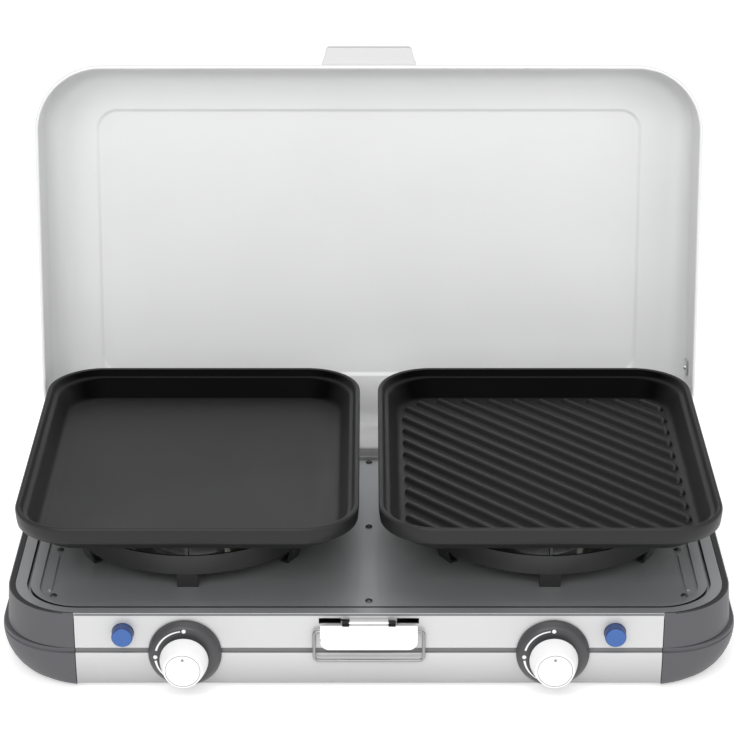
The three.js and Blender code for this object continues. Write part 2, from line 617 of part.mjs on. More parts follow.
// ---------------------------------------------------------------- knobs and valves
const bezelProfile = [[8, 0.3], [28.3, 0.3], [28.3, 2.6], [26.6, 6], [24.2, 7.6], [21, 8],
  [8, 8], [8, 0.3]];
const knobProfile = [
  [3.2, 12], [18.7, 12], [18.6, 16], [15.6, 27.4], [13.6, 29.7], [0, 29.7], [0, 25.3],
  [3.2, 25.3], [3.2, 12],
];
const spindleProfile = [[0, 25], [3, 25], [3, -4.6], [3.9, -4.6], [3.9, -6.2],
  [3, -6.2], [3, -24], [0, -24]];
const collarProfile = [[3.1, -1.6], [5.2, -1.6], [5.2, -4.2], [3.1, -4.2], [3.1, -1.6]];
for (const [side, s] of SIDES) {
  const [x, z] = [s * KNOB_X, KNOB_Z];
  add(`knob_bezel_${side}`, 'bezel', turnedForward(bezelProfile, 26, x, z));
  const dot = barY(1.1, -32, -29.3, x, z + 9.6, 10);
  add(`knob_${side}`, 'white', cut(turnedForward(knobProfile, 24, x, z), dot));
  add(`valve_spindle_${side}`, 'brass', turnedForward(spindleProfile, 16, x, z));
  add(`valve_collar_${side}`, 'steel', turnedForward(collarProfile, 16, x, z));
  const block = join(
    box(x - 11, x + 11, 12, 36, z - 10, z + 10),
    barY(7, 35, 42, x, -30, 16),
    box(x - 6, x + 6, 16, 30, z - 12.5, z),
  );
  const bore = barY(4.4, 8, 32, x, z, 20);
  add(`gas_valve_${side}`, 'brass', cut(block, bore));
}

// ---------------------------------------------------------------- igniters
const buttonProfile = [[0, 9], [6.6, 9], [7.8, 8.6], [BUTTON_R, 7.4], [BUTTON_R, -14],
  [0, -14]];
const housingProfile = [[BUTTON_R + 0.3, -1.5], [11.4, -1.5], [11.4, -40], [0, -40], [0, -22], [BUTTON_R + 0.3, -22], [BUTTON_R + 0.3, -1.5]];
for (const [side, s] of SIDES) {
  const [x, z] = [s * BUTTON_X, BUTTON_Z];
  add(`igniter_button_${side}`, 'blue', turnedForward(buttonProfile, 22, x, z));
  add(`igniter_housing_${side}`, 'bezel', turnedForward(housingProfile, 16, x, z));
}

// ---------------------------------------------------------------- gas line
const RAIL = { y: 26, z: -52, r: 4.4 };
const railPath = [
  [-150, RAIL.y, RAIL.z], [INLET.x - 12, RAIL.y, RAIL.z], [INLET.x - 3, RAIL.y + 4, RAIL.z],
  [INLET.x, RAIL.y + 13, RAIL.z], [INLET.x, 290, RAIL.z], [INLET.x, 306, INLET.z],
  [INLET.x, 319, INLET.z],
];
add('gas_rail', 'steel', wire(railPath, RAIL.r, 12));
const inletProfile = [[0, -319.3], [8, -319.3], [8, -330], [6.3, -330], [6.3, -337], [9, -337.2],
  [9, -343], [5, -343], [5.4, -347], [4.4, -347.5], [5.4, -352], [4, -353], [4, -358],
  [0, -358]];
const inlet = turnedForward(inletProfile, 12, INLET.x, INLET.z);
const inletBore = barY(2, 325, 362, INLET.x, INLET.z, 8);
add('gas_inlet', 'brass', cut(inlet, inletBore));

// ---------------------------------------------------------------- latch
const LEVER_HALF = 37.5;
const leverPlate = [
  [-LEVER_HALF, -9.2], [-LEVER_HALF, -25], [-LEVER_HALF + 1.4, -27.6], [-LEVER_HALF + 4, -28.9],
  [LEVER_HALF - 4, -28.9], [LEVER_HALF - 1.4, -27.6], [LEVER_HALF, -25], [LEVER_HALF, -9.2],
];
const plateBack = LATCH_PIN.y - 2.4;
const plateFront = plateBack - 2;
const facePlate = solid(prism(leverPlate, -plateBack, -plateFront).rotateX(Math.PI / 2));
const knuckleR = 2.3;
const arms = [-1, 1].flatMap((c) => {
  const [a, b] = [c * 15.2, c * 20.5].sort((p, q) => p - q);
  const [d, e] = [c * 34.6, c * LEVER_HALF].sort((p, q) => p - q);
  return [
    barX(knuckleR, a, b, LATCH_PIN.y, LATCH_PIN.z, 10),
    box(a, b, plateFront, LATCH_PIN.y, -10, LATCH_PIN.z),
    box(d, e, plateFront, -1.2, -18, -10.4),
  ];
});
const leverBore = barX(1.38, -22, 22, LATCH_PIN.y, LATCH_PIN.z, 10);
const bailBores = barX(WIRE_R + 0.12, -50, 50, LATCH_PIN.y, BAIL_PIN_Z, 10);
const lever = cut(join(facePlate, arms), leverBore, bailBores);
add('latch_lever', 'white', lever);

const bracket = cut(
  join(
    barX(knuckleR, -14.8, 14.8, LATCH_PIN.y, LATCH_PIN.z, 10),
    box(-14.8, 14.8, LATCH_PIN.y, -GAP, LATCH_PIN.z - 1.2, LATCH_PIN.z + knuckleR),
    box(-14.8, 14.8, -1.6, -GAP, -26, LATCH_PIN.z),
  ),
  barX(1.36, -22, 22, LATCH_PIN.y, LATCH_PIN.z, 10),
);
add('latch_bracket', 'silver', bracket);
add('latch_pin', 'steel', barX(1.25, -20.5, 20.5, LATCH_PIN.y, LATCH_PIN.z, 10));

const bailLow = BAIL_PIN_Z - BAIL_ARM;
const wireY = LATCH_PIN.y;
const bailEnd = (c) => [[c * 35.2, wireY, BAIL_PIN_Z], [c * (BAIL_HALF - 1.6), wireY, BAIL_PIN_Z],
  [c * BAIL_HALF, wireY, BAIL_PIN_Z - 1.6], [c * BAIL_HALF, wireY, bailLow + 3.4],
  [c * (BAIL_HALF - 1), wireY, bailLow + 1], [c * (BAIL_HALF - 3.4), wireY, bailLow]];
add('latch_bail', 'steel', wire([...bailEnd(-1), ...bailEnd(1).reverse()], WIRE_R, 12));

export default group;
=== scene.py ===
"""Folding camp grill: the looks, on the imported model's bodies."""
import json
import math
import bpy
import bmesh
from mathutils import Matrix, Vector


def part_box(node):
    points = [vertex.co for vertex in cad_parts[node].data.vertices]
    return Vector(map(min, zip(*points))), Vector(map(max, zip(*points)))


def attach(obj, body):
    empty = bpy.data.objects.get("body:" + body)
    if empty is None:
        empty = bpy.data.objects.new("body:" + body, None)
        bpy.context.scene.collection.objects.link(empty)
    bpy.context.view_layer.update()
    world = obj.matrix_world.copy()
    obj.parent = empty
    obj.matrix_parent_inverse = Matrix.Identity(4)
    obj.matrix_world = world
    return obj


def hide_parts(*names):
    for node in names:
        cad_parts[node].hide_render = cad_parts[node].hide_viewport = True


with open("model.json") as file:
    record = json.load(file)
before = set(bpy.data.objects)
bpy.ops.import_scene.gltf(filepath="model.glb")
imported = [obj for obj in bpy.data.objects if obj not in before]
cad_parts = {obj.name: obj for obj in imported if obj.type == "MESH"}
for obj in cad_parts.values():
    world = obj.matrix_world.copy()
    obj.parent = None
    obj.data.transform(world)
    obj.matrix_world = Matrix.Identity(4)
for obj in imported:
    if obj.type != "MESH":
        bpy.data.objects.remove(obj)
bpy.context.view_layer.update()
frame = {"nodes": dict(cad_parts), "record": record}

MM = 0.001

# ------------------------------------------------------------------ place in the row frame
FRONT_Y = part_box("front_panel")[0][1] / MM      # the case's front face
RIM_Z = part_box("deck_plate")[1][2] / MM + 0.5   # the case's rim
JOINTS = {j["name"]: j for j in frame["record"]["behaviour"]["joints"]}
PIVOT = [v / MM for v in JOINTS["lid_hinge"]["pos_m"]]
LID_OPEN = math.radians(99)


def at_rest(p):
    """A point drawn from the case's front face and rim, in the row frame, in metres."""
    return Vector((p[0] * MM, (p[1] + FRONT_Y) * MM, (p[2] + RIM_Z) * MM))


def opened(p):
    """The same for a point drawn on the closed lid."""
    v = Vector((p[0], p[1] + FRONT_Y, p[2] + RIM_Z)) - Vector(PIVOT)
    c, s = math.cos(-LID_OPEN), math.sin(-LID_OPEN)
    turned_back = Vector((v.x, v.y * c - v.z * s, v.y * s + v.z * c))
    return (turned_back + Vector(PIVOT)) * MM


# ------------------------------------------------------------------ mesh tools (millimetres)
def outline(x0, x1, y0, y1, r_front, r_rear=None, steps=18):
    """A rectangle with rounded corners, counter-clockwise."""
    r_rear = r_front if r_rear is None else r_rear
    corners = ((x1 - r_front, y0 + r_front, r_front, -90), (x1 - r_rear, y1 - r_rear, r_rear, 0),
               (x0 + r_rear, y1 - r_rear, r_rear, 90), (x0 + r_front, y0 + r_front, r_front, 180))
    points = []
    for cx, cy, r, start in corners:
        for i in range(steps + 1):
            a = math.radians(start + 90 * i / steps)
            points.append((cx + r * math.cos(a), cy + r * math.sin(a)))
    return points


def loft(rings):
    """A closed mesh through rings of equal count, each (points, z)."""
    bm = bmesh.new()
    rows = [[bm.verts.new((x, y, z)) for x, y in points] for points, z in rings]
    n = len(rows[0])
    for low, high in zip(rows, rows[1:]):
        for i in range(n):
            j = (i + 1) % n
            bm.faces.new((low[i], low[j], high[j], high[i]))
    bm.faces.new(list(reversed(rows[0])))
    bm.faces.new(rows[-1])
    bmesh.ops.recalc_face_normals(bm, faces=bm.faces)
    return bm


def prism(points, low, high, axis="z"):
    """A flat outline given thickness: (x, y) up z, (y, z) along x, or (x, z) along y."""
    bm = loft([(points, low), (points, high)])
    if axis == "x":
        for v in bm.verts:
            v.co = Vector((v.co.z, v.co.x, v.co.y))
    if axis == "y":
        for v in bm.verts:
            v.co = Vector((v.co.x, v.co.z, v.co.y))
    bmesh.ops.recalc_face_normals(bm, faces=bm.faces)
    return bm


def box(x0, x1, y0, y1, z0, z1):
    return prism([(x0, y0), (x1, y0), (x1, y1), (x0, y1)], z0, z1)


def turned(profile, segments=96, x=0, y=0, z=0, forward=False):
    """A profile of (radius, height) turned about +Z, or about the forward axis."""
    bm = bmesh.new()
    closed = profile[0] == profile[-1]
    profile = profile[:-1] if closed else profile
    rows = []
    for r, h in profile:
        if r < 1e-6:
            rows.append([bm.verts.new((0, 0, h))] * segments)
            continue
        ring = []
        for i in range(segments):
            a = 2 * math.pi * i / segments
            ring.append(bm.verts.new((r * math.cos(a), r * math.sin(a), h)))
        rows.append(ring)
    pairs = list(zip(rows, rows[1:])) + ([(rows[-1], rows[0])] if closed else [])
    for low, high in pairs:
        for i in range(segments):
            j = (i + 1) % segments
            face = []
            for v in (low[i], low[j], high[j], high[i]):
                if v not in face:
                    face.append(v)
            if len(face) > 2:
                bm.faces.new(face)
    for v in bm.verts:
        if forward:
            v.co = Vector((v.co.x, -v.co.z, v.co.y))
        v.co += Vector((x, y, z))
    bmesh.ops.recalc_face_normals(bm, faces=bm.faces)
    return bm


def smooth_profile(points, rounds=2):
    """Cuts the corners of an open profile so that it turns softly, its ends kept."""
    for _ in range(rounds):
        out = [points[0]]
        for a, b in zip(points, points[1:]):
            out.append((a[0] * 0.78 + b[0] * 0.22, a[1] * 0.78 + b[1] * 0.22))
            out.append((a[0] * 0.22 + b[0] * 0.78, a[1] * 0.22 + b[1] * 0.78))
        out.append(points[-1])
        points = out
    return points


def temporary(bm):
    """An object that holds bm for one boolean, and frees bm."""
    mesh = bpy.data.meshes.new("temp")
    bm.to_mesh(mesh)
    bm.free()
    obj = bpy.data.objects.new("temp", mesh)
    bpy.context.scene.collection.objects.link(obj)
    return obj


def boolean(first, others, operation):
    """first with each of the others cut away, joined or kept in common."""
    for other in others:
        a, b = temporary(first), temporary(other)
        mod = a.modifiers.new("b", "BOOLEAN")
        mod.operation, mod.object, mod.solver = operation, b, "MANIFOLD"
        mesh = bpy.data.meshes.new_from_object(a.evaluated_get(
            bpy.context.evaluated_depsgraph_get()))
        first = bmesh.new()
        first.from_mesh(mesh)
        for obj in (a, b):
            data = obj.data
            bpy.data.objects.remove(obj)
            bpy.data.meshes.remove(data)
        bpy.data.meshes.remove(mesh)
    return first


def cut(first, *others):
    return boolean(first, others, "DIFFERENCE")


def join(first, *others):
    return boolean(first, others, "UNION")


def common(first, *others):
    return boolean(first, others, "INTERSECT")


def merged(*parts):
    """Several meshes in one, as they are."""
    out = bmesh.new()
    for bm in parts:
        mesh = bpy.data.meshes.new("temp")
        bm.to_mesh(mesh)
        bm.free()
        out.from_mesh(mesh)
        bpy.data.meshes.remove(mesh)
    return out


def moved(bm, matrix):
    bmesh.ops.transform(bm, matrix=matrix, verts=bm.verts)
    return bm


def mirrored(bm):
    for v in bm.verts:
        v.co.x = -v.co.x
    bmesh.ops.reverse_faces(bm, faces=bm.faces)
    return bm


def copied(bm):
    return bm.copy()


def piece(name, bm, material, body, stands_for=(), place=at_rest, bevel=0.25, angle=32):
    """Puts a finished mesh in the scene on its body, in place of CAD nodes."""
    for v in bm.verts:
        v.co = place(v.co)
    bmesh.ops.remove_doubles(bm, verts=bm.verts, dist=2e-6)
    if bm.calc_volume(signed=True) < 0:
        bmesh.ops.reverse_faces(bm, faces=bm.faces)
    for edge in bm.edges:
        sharp = len(edge.link_faces) != 2 or edge.calc_face_angle(0) > math.radians(angle)
        edge.smooth = not sharp
    for face in bm.faces:
        face.smooth = any(e.smooth and e.calc_face_angle(0) > 0.01 for e in face.edges)
    mesh = bpy.data.meshes.new(name)
    bm.to_mesh(mesh)
    bm.free()
    obj = bpy.data.objects.new(name, mesh)
    bpy.context.scene.collection.objects.link(obj)
    obj.data.materials.append(material)
    if bevel:
        soften(obj, bevel, angle)
        even = obj.modifiers.new("shading", "WEIGHTED_NORMAL")
        even.keep_sharp = True
    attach(obj, body)
    if stands_for:
        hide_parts(*stands_for)
    return obj


def soften(obj, width, angle=32):
    mod = obj.modifiers.new("edges", "BEVEL")
    mod.width, mod.segments, mod.limit_method = width * MM, 2, "ANGLE"
    mod.angle_limit, mod.harden_normals = math.radians(angle), True
    mod.use_clamp_overlap = True


# ------------------------------------------------------------------ materials
def dimmed_by(nodes, links, color, value, start, end, least):
    """Scales a colour by a share that rises from least to 1 as value goes from start to end."""
    share = nodes.new("ShaderNodeMapRange")
    share.inputs["From Min"].default_value = start
    share.inputs["From Max"].default_value = end
    share.inputs["To Min"].default_value = least
    links.new(value, share.inputs["Value"])
    dimmed = nodes.new("ShaderNodeVectorMath")
    dimmed.operation = "SCALE"
    links.new(color, dimmed.inputs[0])
    links.new(share.outputs["Result"], dimmed.inputs["Scale"])
    return dimmed.outputs["Vector"], share.outputs["Result"]


def axis_of(nodes, links, vector, axis):
    parts = nodes.new("ShaderNodeSeparateXYZ")
    links.new(vector, parts.inputs["Vector"])
    return parts.outputs[axis]


# a surface whose normal's y is below the first faces the front and takes the full painted shade;
# above the second it doesn't face the front and takes none
FRONTWARD = (-0.72, -0.02)


def finish(name, color, metallic=0.0, rough=0.45, spread=0.08, tint=0.05, grain=900, bump=0.02,
           stretch=(1, 1, 1), coat=0.0, edge_wear_and_highlight=None, specular=0.5, painted_shade_height=None, back=None):
    """A surface with grain, patchy roughness, slight colour change, and lighter edges for wear and
    a painted highlight.

    painted_shade_height is (low, high, share), a painted shade: below high the colour falls to that
    share of itself at low.
    back is the share of colour and shine left where the surface faces the front, a painted shade."""
    mat = bpy.data.materials.new(name)
    mat.use_nodes = True
    nodes, links = mat.node_tree.nodes, mat.node_tree.links
    shader = nodes["Principled BSDF"]
    shader.inputs["Metallic"].default_value = metallic
    shader.inputs["Coat Weight"].default_value = coat
    shader.inputs["Coat Roughness"].default_value = 0.15
    shader.inputs["Specular IOR Level"].default_value = specular
    where = nodes.new("ShaderNodeTexCoord")
    fine_map = nodes.new("ShaderNodeMapping")
    fine_map.inputs["Scale"].default_value = stretch
    links.new(where.outputs["Object"], fine_map.inputs["Vector"])
    fine = nodes.new("ShaderNodeTexNoise")
    fine.inputs["Scale"].default_value = grain
    fine.inputs["Detail"].default_value = 3
    links.new(fine_map.outputs["Vector"], fine.inputs["Vector"])
    broad = nodes.new("ShaderNodeTexNoise")
    broad.inputs["Scale"].default_value = 14
    broad.inputs["Detail"].default_value = 4
    links.new(where.outputs["Object"], broad.inputs["Vector"])
    both = nodes.new("ShaderNodeMix")
    both.inputs["Factor"].default_value = 0.5
    links.new(fine.outputs["Fac"], both.inputs["A"])
    links.new(broad.outputs["Fac"], both.inputs["B"])
    to_rough = nodes.new("ShaderNodeMapRange")
    to_rough.inputs["From Min"].default_value = 0.3
    to_rough.inputs["From Max"].default_value = 0.7
    to_rough.inputs["To Min"].default_value = max(rough - spread, 0.05)
    to_rough.inputs["To Max"].default_value = min(rough + spread, 1)
    links.new(both.outputs["Result"], to_rough.inputs["Value"])
    links.new(to_rough.outputs["Result"], shader.inputs["Roughness"])
    ramp = nodes.new("ShaderNodeValToRGB")
    ramp.color_ramp.elements[0].position = 0.3
    ramp.color_ramp.elements[1].position = 0.7
    ramp.color_ramp.elements[0].color = [c * (1 - tint) for c in color] + [1]
    ramp.color_ramp.elements[1].color = [min(c * (1 + tint), 1) for c in color] + [1]
    links.new(both.outputs["Result"], ramp.inputs["Fac"])
    last = ramp.outputs["Color"]
    # sharp edges get a lighter colour, standing for wear and a painted highlight
    if edge_wear_and_highlight:
        edges = nodes.new("ShaderNodeNewGeometry")
        mask = nodes.new("ShaderNodeMapRange")
        mask.inputs["From Min"].default_value = 0.53
        mask.inputs["From Max"].default_value = 0.62
        mask.inputs["To Max"].default_value = 0.6
        links.new(edges.outputs["Pointiness"], mask.inputs["Value"])
        worn_and_lit = nodes.new("ShaderNodeMix")
        worn_and_lit.data_type = "RGBA"
        worn_and_lit.inputs["B"].default_value = list(edge_wear_and_highlight) + [1]
        links.new(mask.outputs["Result"], worn_and_lit.inputs["Factor"])
        links.new(last, worn_and_lit.inputs["A"])
        last = worn_and_lit.outputs["Result"]
    # painted shade: the colour darkens towards the bottom
    if painted_shade_height:
        height = axis_of(nodes, links, where.outputs["Object"], "Z")
        last, _ = dimmed_by(nodes, links, last, height, *painted_shade_height)
    # painted shade: colour and shine drop where the surface faces the front
    if back is not None:
        normal = nodes.new("ShaderNodeNewGeometry").outputs["Normal"]
        facing = axis_of(nodes, links, normal, "Y")
        last, share = dimmed_by(nodes, links, last, facing, *FRONTWARD, back)
        shine = nodes.new("ShaderNodeMath")
        shine.operation = "MULTIPLY"
        shine.inputs[1].default_value = specular
        links.new(share, shine.inputs[0])
        links.new(shine.outputs["Value"], shader.inputs["Specular IOR Level"])
    links.new(last, shader.inputs["Base Color"])
    if bump:
        relief = nodes.new("ShaderNodeBump")
        relief.inputs["Strength"].default_value = bump
        relief.inputs["Distance"].default_value = 0.0006
        links.new(fine.outputs["Fac"], relief.inputs["Height"])
        links.new(relief.outputs["Normal"], shader.inputs["Normal"])
    return mat


LID_PAINT = finish("lid_paint", (0.77, 0.772, 0.775), 0.12, 0.42, 0.05, 0.02, 1400, 0.05)
SILVER = finish("silver_sheet", (0.56, 0.56, 0.563), 0.35, 0.38, 0.06, 0.02, 700, 0.03,
                (0.06, 1, 1))
# the front sheet is painted darker towards its bottom, a painted shade
PANEL = finish("panel_sheet", (0.56, 0.56, 0.563), 0.3, 0.38, 0.06, 0.02, 700, 0.03,
               (0.06, 1, 1), painted_shade_height=(0.004, 0.034, 0.62))
HOB = finish("hob_steel", (0.4, 0.408, 0.416), 0.55, 0.34, 0.06, 0.05, 900, 0.05, (0.1, 1, 1))
# the flange in two painted tones: lighter at the sides as painted light, darker at the front as
# painted shade
FLANGE_LIT = finish("hob_flange_painted_light", (0.5, 0.505, 0.51), 0.5, 0.3, 0.06, 0.04, 900, 0.05)
FLANGE_SHADED = finish("hob_flange_painted_shade", (0.17, 0.173, 0.176), 0.5, 0.4, 0.06, 0.04, 900, 0.05)
WIRE = finish("wire_steel", (0.3, 0.3, 0.305), 0.9, 0.3, 0.06, 0.03, 900, 0.04)
SCREW = finish("screw_steel", (0.1, 0.1, 0.102), 0.7, 0.4, 0.06, 0.05, 900, 0.04)
BLUE_SIDE_SHADE = finish("blue_painted_side_shade", (0.012, 0.04, 0.16), 0, 0.35, 0.05, 0.04, 1500, 0.03)
CATCH = finish("catch_white", (0.62, 0.62, 0.62), 0, 0.4, 0.05, 0.01, 1500, 0.03)
CAP = finish("cap_plastic", (0.075, 0.075, 0.082), 0, 0.5, 0.06, 0.04, 1600, 0.12)
CAP_RIM = finish("cap_rim", (0.02, 0.02, 0.021), 0, 0.45, 0.05, 0.05, 1600, 0.1)
# the coating's sharp edges are lighter, partly wear and partly a painted highlight on the rim
COATING = finish("pan_coating", (0.012, 0.012, 0.0123), 0, 0.45, 0.06, 0.1, 2200, 0.1,
                 edge_wear_and_highlight=(0.06, 0.06, 0.06), specular=0.32)
# the pans' back inner wall, with a painted shade where it faces the front
PAN_WALL_SHADE = finish("pan_wall_painted_shade", (0.012, 0.012, 0.0123), 0, 0.47, 0.06, 0.1, 2200, 0.1,
                  specular=0.32, back=0.08)
ENAMEL = finish("black_enamel", (0.018, 0.018, 0.019), 0, 0.36, 0.08, 0.1, 1200, 0.1)
WHITE = finish("white_plastic", (0.88, 0.88, 0.88), 0, 0.35, 0.05, 0.01, 1500, 0.03)
BLUE = finish("blue_plastic", (0.033, 0.105, 0.33), 0, 0.3, 0.05, 0.04, 1500, 0.03)
STEEL = finish("steel", (0.62, 0.62, 0.63), 0.9, 0.26, 0.06, 0.03, 900, 0.04)
BRASS = finish("brass", (0.58, 0.45, 0.2), 0.9, 0.32, 0.08, 0.06, 900, 0.05)
ALLOY = finish("burner_alloy", (0.62, 0.62, 0.63), 0.85, 0.36, 0.1, 0.06, 1300, 0.15)
RUBBER = finish("rubber", (0.02, 0.02, 0.02), 0, 0.85, 0.08, 0.1, 1500, 0.2)
CERAMIC = finish("ceramic", (0.8, 0.77, 0.69), 0, 0.3, 0.05, 0.03, 900, 0.03)
BEZEL = finish("bezel_plastic", (0.048, 0.048, 0.051), 0, 0.42, 0.05, 0.05, 1600, 0.1)
# a dark material for the latch knuckles, also laid as a painted shadow in the hob's step
DARK_PART_AND_SEAM_SHADOW = finish("dark_part_and_painted_seam_shadow", (0.014, 0.014, 0.015), 0, 0.6, 0.05, 0.05, 900, 0.05, specular=0.2)
GROOVE_SHADE = finish("groove_painted_shade", (0.16, 0.16, 0.163), 0.2, 0.5, 0.05, 0.04, 900, 0.05)
MARK = finish("mark_white", (0.85, 0.85, 0.85), 0, 0.4, 0.05, 0.01, 900, 0.02)
MARK_GREY = finish("mark_grey", (0.25, 0.25, 0.26), 0, 0.5, 0.05, 0.02, 900, 0.02)

BY_SLOT = {
    "silver_sheet": SILVER, "lid_paint": LID_PAINT, "hob_steel": HOB, "cap_plastic": CAP,
    "pan_coating": COATING, "black_enamel": ENAMEL, "white_plastic": WHITE,
    "blue_plastic": BLUE, "steel": STEEL, "brass": BRASS, "burner_alloy": ALLOY,
    "rubber": RUBBER, "ceramic": CERAMIC, "bezel_plastic": BEZEL,
}
for part in frame["record"]["subparts"]:
    node = frame["nodes"][part["node"]]
    node.data.materials.clear()
    node.data.materials.append(BY_SLOT[part["material_slot"]])
    soften(node, 0.3)

SIDES = (("left", -1), ("right", 1))

# ------------------------------------------------------------------ driving dimensions
CASE_HALF, DEPTH = 289, 336           # half the width over the end caps, front to back
BURNER_X, BURNER_Y = 142, 142
KNOB_X, KNOB_Z = 142, -34
BUTTON_X, BUTTON_Z = 189.5, -17
PAST_X, PAST_Y = 300, 400             # beyond the case, for the boxes that cut it

# ------------------------------------------------------------------ end caps
SEAM = 227.3
SHOULDER_Z, WAIST_Z, GROOVE = -35, -30, 1.4
SHELF_Y, SHELF_Z = 284.6, -14


def case_outline(half, side, front):
    hx = half - side
    r = max(57 - min(side, 12) * 0.4, 30)
    return outline(-hx, hx, front, DEPTH - front, r)


def case_rings(inset):
    rings = []
    for deg in (90, 82, 72, 60, 48, 36, 25, 15, 7, 0):
        a = math.radians(deg)
        side, front = 26 * (1 - math.cos(a)) + inset, 5 * (1 - math.cos(a)) + inset
        rings.append((case_outline(CASE_HALF, side, front), SHOULDER_Z - 31 * math.sin(a)))
    groove = GROOVE + inset
    rings.append((case_outline(CASE_HALF, inset, groove), -34.2))
    rings.append((case_outline(CASE_HALF - 0.2, inset, groove), -32))
    rings.append((case_outline(CASE_HALF - 1, inset, groove), -31.3))
    rings.append((case_outline(CASE_HALF - 3.8, inset, groove), -31))
    rings.append((case_outline(CASE_HALF - 4, inset, inset), WAIST_Z))
    rings.append((case_outline(CASE_HALF - 6, inset, inset), -1))
    rings.append((case_outline(CASE_HALF - 6, inset + 1, inset + (0 if inset else 0.5)), 0))
    return rings


hollow = loft(case_rings(3))
pocket = prism(outline(-278, 278, 1.3, PAST_Y, 54.4), -5.5, 5)
cap_hollow = common(hollow, box(-PAST_X, PAST_X, -10, PAST_Y, -63, -5.5))
rear_hollow = common(copied(cap_hollow), box(-PAST_X, PAST_X, 200, PAST_Y, -70, SHELF_Z - 3))
front_hollow = common(join(cap_hollow, pocket), box(-PAST_X, PAST_X, -10, 282.9, -70, 9))
shelf = box(-PAST_X, PAST_X, SHELF_Y, PAST_Y, SHELF_Z, 9)
ends = cut(loft(case_rings(0)), shelf, front_hollow, rear_hollow)
cap_right = common(ends, box(SEAM, PAST_X, -10, PAST_Y, -70, 9))
cap_left = mirrored(copied(cap_right))
for side, bm in (("left", cap_left), ("right", cap_right)):
    obj = piece(f"cap_{side}", bm, CAP, "stove", [f"end_cap_{side}"], bevel=0.35)
    obj.data.materials.append(CAP_RIM)
    top = (RIM_Z - 0.9) * MM
    for face in obj.data.polygons:
        if face.normal.z > 0.5 and face.center.z > top:
            face.material_index = 1

# ------------------------------------------------------------------ front panel
seam_in = 226.7
face = [(0, -1), (0, WAIST_Z), (0.3, -30.4), (GROOVE, -31.2), (GROOVE, -34),
        (0.3, -34.7), (0, SHOULDER_Z)]
for deg in (10, 20, 30, 40, 50, 60, 70, 80, 90):
    a = math.radians(deg)
    face.append((5 * (1 - math.cos(a)), SHOULDER_Z - 29 * math.sin(a)))
back = [(y + 1.2, z) for y, z in face[1:-1]][::-1]
sheet = face + [(14, -64), (14, -62.8), (5.8, -62.8)] + back + [(1.2, -1.4), (1.2, -0.4),
                                                               (0.35, -0.4)]
slots = [box(min(a, b), max(a, b), -3, 3, -9.1, -4.2)
         for a, b in ((21.5, 38.5), (-21.5, -38.5))]
holes = [turned([(0, -4), (r, -4), (r, 3), (0, 3)], 48, s * x, 0, z, True)
         for s in (-1, 1)
         for r, x, z in ((6, KNOB_X, KNOB_Z), (8.6, BUTTON_X, BUTTON_Z))]
panel = prism(sheet, -seam_in, seam_in, "x")
# split at every hole and slot, so that the cuts leave no long seam that shades dark
for x in (-BUTTON_X, -KNOB_X, -30, 30, KNOB_X, BUTTON_X):
    bmesh.ops.bisect_plane(panel, geom=panel.verts[:] + panel.edges[:] + panel.faces[:],
                           plane_co=(x, 0, 0), plane_no=(1, 0, 0))
panel = cut(panel, *slots, *holes)
panel = piece("front_sheet", panel, PANEL, "stove", ["front_panel"], bevel=0,
              angle=28)
# the groove's faces take a darker grey, a painted shade
panel.data.materials.append(GROOVE_SHADE)
for poly in panel.data.polygons:
    y, z = poly.center.y / MM - FRONT_Y, poly.center.z / MM - RIM_Z
    if -34.8 < z < WAIST_Z - 0.3 and 0.1 < y < GROOVE + 0.2:
        poly.material_index = 1

# ------------------------------------------------------------------ hob plate
DECK_Z = -3
STEP_X, STEP_Y, STEP_R = 268.5, 10, 44          # the recess inside the rim
BEND_X, BEND_Y = STEP_X - STEP_R, STEP_Y + STEP_R


def deck_cut(dx, front, r, low, high, rear=400):
    return prism(outline(-dx, dx, front, rear, r, 5), low, high)


well = [(62.2, -3), (60, -3.1), (57.5, -3.9), (54, -6.3), (51.5, -7.6), (49, -8), (33.5, -8),
        (33.5, -9.2), (49, -9.2), (51.5, -8.8), (54, -7.5), (57.5, -5.1), (60, -4.3),
        (62.2, -4.2), (62.2, -3)]
deck = prism(outline(-277.6, 277.6, 1.6, 282.6, 54, 5), -5, -0.5)
deck = cut(deck, deck_cut(STEP_X, STEP_Y, STEP_R, -4.2, 1))
deck = join(deck, deck_cut(265.8, 12.8, 41.5, -5, -0.9, 282.6))
deck = cut(deck, deck_cut(258, 14, 35, DECK_Z, 1), deck_cut(256.5, 15.5, 34, -9, DECK_Z - 1.2))
disc = [(0, -9), (61.5, -9), (61.5, 2), (0, 2)]
for s in (-1, 1):
    deck = cut(deck, turned(disc, 96, BURNER_X * s, BURNER_Y))
    deck = join(deck, turned(well, 96, BURNER_X * s, BURNER_Y))
    x = 250.2 * s
    deck = join(deck, prism(outline(x - 2, x + 2, 42, 102, 1.95), DECK_Z - 0.5, DECK_Z + 1.2))
    deck = cut(deck, turned([(0, -12), (3, -12), (3, -6), (0, -6)], 32, BURNER_X * s + 28, 110),
               box(8.6 * s - 0.5, 8.6 * s + 0.5, 27, 281, DECK_Z - 0.6, 1))
deck = join(deck, box(-226.4, 226.4, -0.35, 2.4, -2.1, -0.6))
hob = piece("hob_plate", deck, HOB, "stove", ["deck_plate"], bevel=0.45, angle=28)
for extra in (FLANGE_LIT, DARK_PART_AND_SEAM_SHADOW, FLANGE_SHADED):
    hob.data.materials.append(extra)
